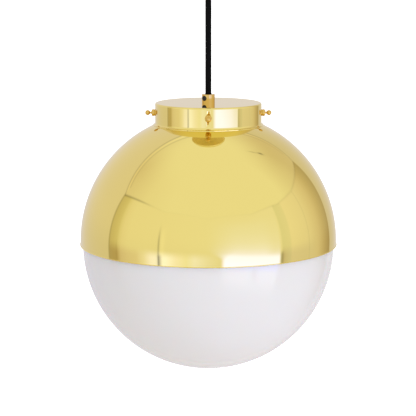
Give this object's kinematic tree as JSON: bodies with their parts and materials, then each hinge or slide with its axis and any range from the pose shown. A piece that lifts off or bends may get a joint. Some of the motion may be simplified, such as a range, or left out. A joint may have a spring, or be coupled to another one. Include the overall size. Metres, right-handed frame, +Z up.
{
  "type": "pendant ceiling light",
  "caption": "Globe pendant light: polished brass half-shell over an opal glass globe, held in a gallery cap by ball-headed thumbscrews, hung on a textile cord from a ceiling rose.",
  "frame": {"origin": "centre of the ceiling face, where the bracket and the canopy's rim meet the ceiling", "axes": "+Z up into the ceiling, the lamp hangs down -Z; -Y is the front, where the nearest thumbscrew points; +X is the viewer's right"},
  "size_m": [0.3, 0.3, 0.4912],
  "materials": {
    "polished_brass": "spun sheet brass, mirror polished and lacquered",
    "turned_brass": "turned solid brass, polished",
    "plain_brass": "machined brass contact metal, unpolished",
    "zinc_steel": "bright zinc-plated steel",
    "black_nylon": "moulded nylon set screw",
    "opal_glass": "blown opal glass, glossy outside",
    "black_textile": "braided textile over an insulated round flex",
    "white_silicone": "translucent white silicone",
    "white_nylon": "moulded polyamide",
    "glazed_porcelain": "glazed porcelain",
    "black_phenolic": "moulded phenolic resin",
    "nickel_shell": "nickel-plated screw shell",
    "brown_core": "brown insulated core",
    "blue_core": "blue insulated core",
    "earth_core": "green core with a yellow stripe",
    "black_bulb_glass": "black vitreous insulator",
    "bulb_housing": "white moulded bulb body",
    "bulb_diffuser": "frosted white diffuser"
  },
  "bodies": {
    "ceiling_rose": {"ceiling_bracket": "zinc_steel", "ceiling_canopy": "polished_brass", "rose_side_screws": "turned_brass", "canopy_tube": "zinc_steel", "canopy_washer": "zinc_steel", "canopy_locknut": "zinc_steel", "terminal_block": "white_nylon", "terminal_screws": "plain_brass", "bracket_earth_screw": "plain_brass", "canopy_cord_grip": "turned_brass", "canopy_grip_screw": "black_nylon", "canopy_cord_end": "black_textile", "canopy_lead_live": "brown_core", "canopy_lead_earth": "earth_core", "canopy_lead_neutral": "blue_core"},
    "cord": {"pendant_cord": "black_textile"},
    "lamp": {"brass_dome": "polished_brass", "bulb_body": "bulb_housing", "bulb_contact": "plain_brass", "bulb_diffuser": "bulb_diffuser", "bulb_insulator": "black_bulb_glass", "bulb_shell": "nickel_shell", "cap_earth_screw": "plain_brass", "gallery_bosses": "turned_brass", "gallery_cap": "polished_brass", "glass_globe": "opal_glass", "globe_seal": "white_silicone", "holder_contact": "plain_brass", "holder_terminal_screws": "plain_brass", "lamp_cord_end": "black_textile", "lamp_cord_grip": "turned_brass", "lamp_grip_screw": "black_nylon", "lamp_lead_live": "brown_core", "lamp_lead_neutral": "blue_core", "lamp_locknut": "zinc_steel", "lamp_tube": "zinc_steel", "lamp_washer": "zinc_steel", "lampholder_block": "glazed_porcelain", "lampholder_cap": "black_phenolic", "lampholder_liner": "nickel_shell", "lampholder_sleeve": "black_phenolic"},
    "pad_front": {"tip_pad_front": "white_silicone"},
    "screw_front": {"thumbscrew_front": "turned_brass"},
    "pad_right": {"tip_pad_right": "white_silicone"},
    "screw_right": {"thumbscrew_right": "turned_brass"},
    "pad_back": {"tip_pad_back": "white_silicone"},
    "screw_back": {"thumbscrew_back": "turned_brass"},
    "pad_left": {"tip_pad_left": "white_silicone"},
    "screw_left": {"thumbscrew_left": "turned_brass"}
  },
  "joints": [
    {"name": "cord_swing", "type": "hinge", "parent": "ceiling_rose", "child": "cord", "pos_m": [0, 0, -0.052], "axis": [0, 1, 0], "range_deg": [-15, 15]},
    {"name": "lamp_tilt", "type": "hinge", "parent": "cord", "child": "lamp", "pos_m": [0, 0, -0.17], "axis": [1, 0, 0], "range_deg": [-8, 8]},
    {"name": "screw_travel_front", "type": "slide", "parent": "lamp", "child": "pad_front", "axis": [0, -1, 0], "range_m": [0, 0.005]},
    {"name": "screw_turn_front", "type": "hinge", "parent": "pad_front", "child": "screw_front", "pos_m": [0, -0.06, -0.1915], "axis": [0, -1, 0], "range_deg": [0, 3600]},
    {"name": "screw_travel_right", "type": "slide", "parent": "lamp", "child": "pad_right", "axis": [1, 0, 0], "range_m": [0, 0.005]},
    {"name": "screw_turn_right", "type": "hinge", "parent": "pad_right", "child": "screw_right", "pos_m": [0.06, 0, -0.1915], "axis": [1, 0, 0], "range_deg": [0, 3600]},
    {"name": "screw_travel_back", "type": "slide", "parent": "lamp", "child": "pad_back", "axis": [0, 1, 0], "range_m": [0, 0.005]},
    {"name": "screw_turn_back", "type": "hinge", "parent": "pad_back", "child": "screw_back", "pos_m": [0, 0.06, -0.1915], "axis": [0, 1, 0], "range_deg": [0, 3600]},
    {"name": "screw_travel_left", "type": "slide", "parent": "lamp", "child": "pad_left", "axis": [-1, 0, 0], "range_m": [0, 0.005]},
    {"name": "screw_turn_left", "type": "hinge", "parent": "pad_left", "child": "screw_left", "pos_m": [-0.06, 0, -0.1915], "axis": [-1, 0, 0], "range_deg": [0, 3600]}
  ],
  "couplings": [
    {"joint": "screw_turn_front", "follows": "screw_travel_front", "rad_per_m": 12566},
    {"joint": "screw_turn_right", "follows": "screw_travel_right", "rad_per_m": 12566},
    {"joint": "screw_turn_back", "follows": "screw_travel_back", "rad_per_m": 12566},
    {"joint": "screw_turn_left", "follows": "screw_travel_left", "rad_per_m": 12566}
  ]
}
